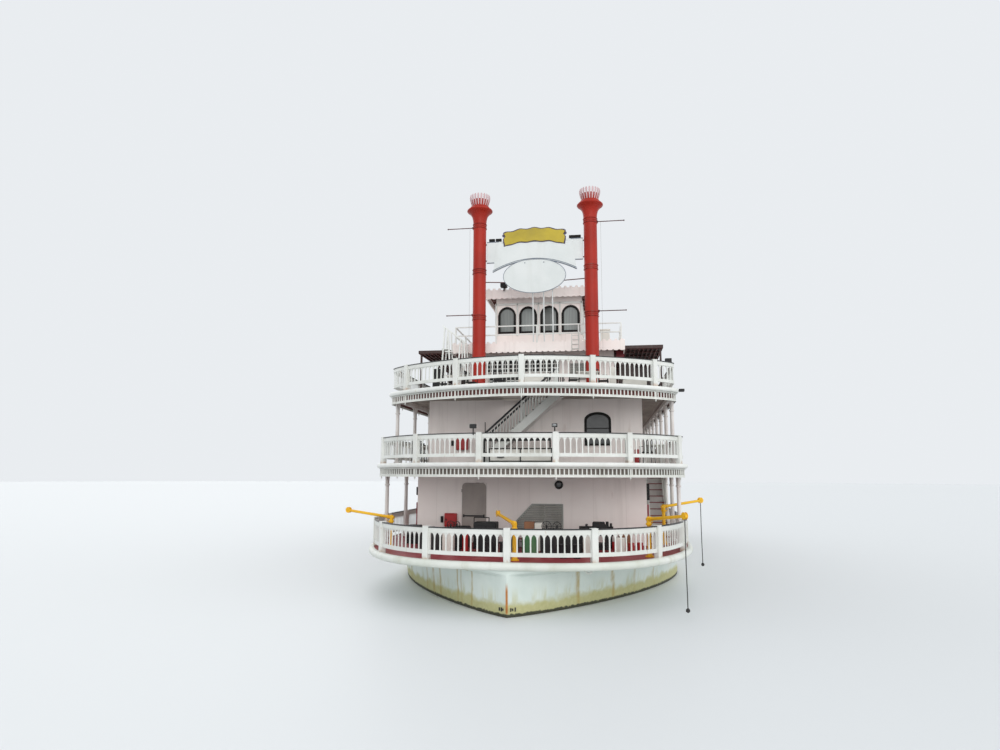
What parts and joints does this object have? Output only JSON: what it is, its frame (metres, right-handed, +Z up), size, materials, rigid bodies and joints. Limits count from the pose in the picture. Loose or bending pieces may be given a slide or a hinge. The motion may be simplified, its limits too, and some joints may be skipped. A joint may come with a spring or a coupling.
{
  "type": "paddle steamer",
  "caption": "Sternwheel excursion boat with stacked galleried decks, twin crowned stacks and a paddle wheel that turns at the stern.",
  "frame": {"origin": "on the centre line amidships, in the plane of the water", "axes": "+X to port, +Y aft towards the paddle wheel, +Z up"},
  "size_m": [13.488, 38.6503, 18.34],
  "materials": {
    "hull_paint": "worn white paint with algae at the water",
    "deck_red": "matt maroon deck paint",
    "deck_grey": "matt grey-brown deck paint",
    "trim_white": "satin white paint",
    "house_white": "satin pinkish white paint",
    "stack_red": "glossy red paint",
    "wheel_red": "painted timber, worn",
    "awning_brown": "dark brown stained timber",
    "davit_yellow": "yellow paint, chipped",
    "door_brown": "grey-brown paint",
    "machine_black": "black, greasy",
    "rope_black": "tarred rope"
  },
  "bodies": {
    "boat": {"hull": "hull_paint", "main_deck": "deck_red", "saloon_deck": "deck_grey", "hurricane_deck": "deck_grey", "rub_rail": "trim_white", "saloon_valance": "trim_white", "hurricane_valance": "trim_white", "main_rail_port": "trim_white", "main_rail_starboard": "trim_white", "saloon_rail_port": "trim_white", "saloon_rail_starboard": "trim_white", "hurricane_rail_port": "trim_white", "hurricane_rail_starboard": "trim_white", "stern_rail": "trim_white", "main_columns_port": "house_white", "main_columns_starboard": "house_white", "saloon_columns_port": "house_white", "saloon_columns_starboard": "house_white", "main_house_front": "house_white", "main_house_port": "house_white", "main_house_starboard": "house_white", "main_house_aft": "house_white", "saloon_house_front": "house_white", "saloon_house_port": "house_white", "saloon_house_starboard": "house_white", "saloon_house_aft": "house_white", "texas_house": "house_white", "texas_roof": "house_white", "roof_rail": "trim_white", "pilot_house": "house_white", "pilot_roof": "house_white", "stack_port": "stack_red", "stack_starboard": "stack_red", "sign": "house_white", "gallery_stair": "trim_white", "bow_stair": "trim_white", "roof_steps": "trim_white", "awning_port": "awning_brown", "awning_starboard": "awning_brown", "engine": "machine_black", "mooring_winch": "machine_black", "wheel_beam_port": "wheel_red", "wheel_beam_starboard": "wheel_red"},
    "wheel": {"paddle_wheel": "wheel_red", "wheel_shaft": "machine_black"},
    "rudder_port": {"rudder_port": "wheel_red"},
    "rudder_starboard": {"rudder_starboard": "wheel_red"},
    "davit_bow": {"davit_bow": "davit_yellow"},
    "davit_port_fore": {"davit_port_fore": "davit_yellow", "rope_port_fore": "rope_black", "sinker_port_fore": "machine_black"},
    "davit_port_aft": {"davit_port_aft": "davit_yellow", "rope_port_aft": "rope_black", "sinker_port_aft": "machine_black"},
    "davit_starboard": {"davit_starboard": "davit_yellow"},
    "door_main_front": {"door_main_front": "door_brown"},
    "door_main_port": {"door_main_port": "door_brown"},
    "door_main_starboard": {"door_main_starboard": "door_brown"},
    "door_saloon_aft": {"door_saloon_aft": "door_brown"},
    "door_pilot": {"door_pilot": "door_brown"}
  },
  "joints": [
    {"name": "wheel_spin", "type": "hinge", "parent": "boat", "child": "wheel", "pos_m": [0, 16.85, 2.1], "axis": [1, 0, 0], "continuous": true},
    {"name": "rudder_port_turn", "type": "hinge", "parent": "boat", "child": "rudder_port", "pos_m": [2.6, 12.5, 0], "axis": [0, 0, 1], "range_deg": [-35, 35]},
    {"name": "rudder_starboard_turn", "type": "hinge", "parent": "boat", "child": "rudder_starboard", "pos_m": [-2.6, 12.5, 0], "axis": [0, 0, 1], "range_deg": [-35, 35]},
    {"name": "davit_bow_turn", "type": "hinge", "parent": "boat", "child": "davit_bow", "pos_m": [0.12, -18.2, 2], "axis": [0, 0, 1], "range_deg": [-150, 150]},
    {"name": "davit_port_fore_turn", "type": "hinge", "parent": "boat", "child": "davit_port_fore", "pos_m": [4.26, -16.53, 2], "axis": [0, 0, 1], "range_deg": [-50, 50]},
    {"name": "davit_port_aft_turn", "type": "hinge", "parent": "boat", "child": "davit_port_aft", "pos_m": [5.08, -12.3, 2], "axis": [0, 0, 1], "range_deg": [-80, 20]},
    {"name": "davit_starboard_turn", "type": "hinge", "parent": "boat", "child": "davit_starboard", "pos_m": [-4.84, -14.95, 2], "axis": [0, 0, 1], "range_deg": [-60, 60]},
    {"name": "door_main_front_hinge", "type": "hinge", "parent": "boat", "child": "door_main_front", "pos_m": [-2.656, -12.9463, 1.7183], "axis": [0, 0, -1], "range_deg": [0, 95]},
    {"name": "door_main_port_hinge", "type": "hinge", "parent": "boat", "child": "door_main_port", "pos_m": [4.4463, 0.819, 1.7183], "axis": [0, 0, -1], "range_deg": [0, 95]},
    {"name": "door_main_starboard_hinge", "type": "hinge", "parent": "boat", "child": "door_main_starboard", "pos_m": [-4.4463, 0.819, 1.7183], "axis": [0, 0, 1], "range_deg": [0, 95]},
    {"name": "door_saloon_aft_hinge", "type": "hinge", "parent": "boat", "child": "door_saloon_aft", "pos_m": [-0.491, 10.1663, 4.7073], "axis": [0, 0, 1], "range_deg": [0, 95]},
    {"name": "door_pilot_hinge", "type": "hinge", "parent": "boat", "child": "door_pilot", "pos_m": [-0.406, -5.7337, 9.9603], "axis": [0, 0, 1], "range_deg": [0, 95]}
  ],
  "couplings": [
    {"joint": "rudder_starboard_turn", "follows": "rudder_port_turn", "ratio": 1}
  ]
}
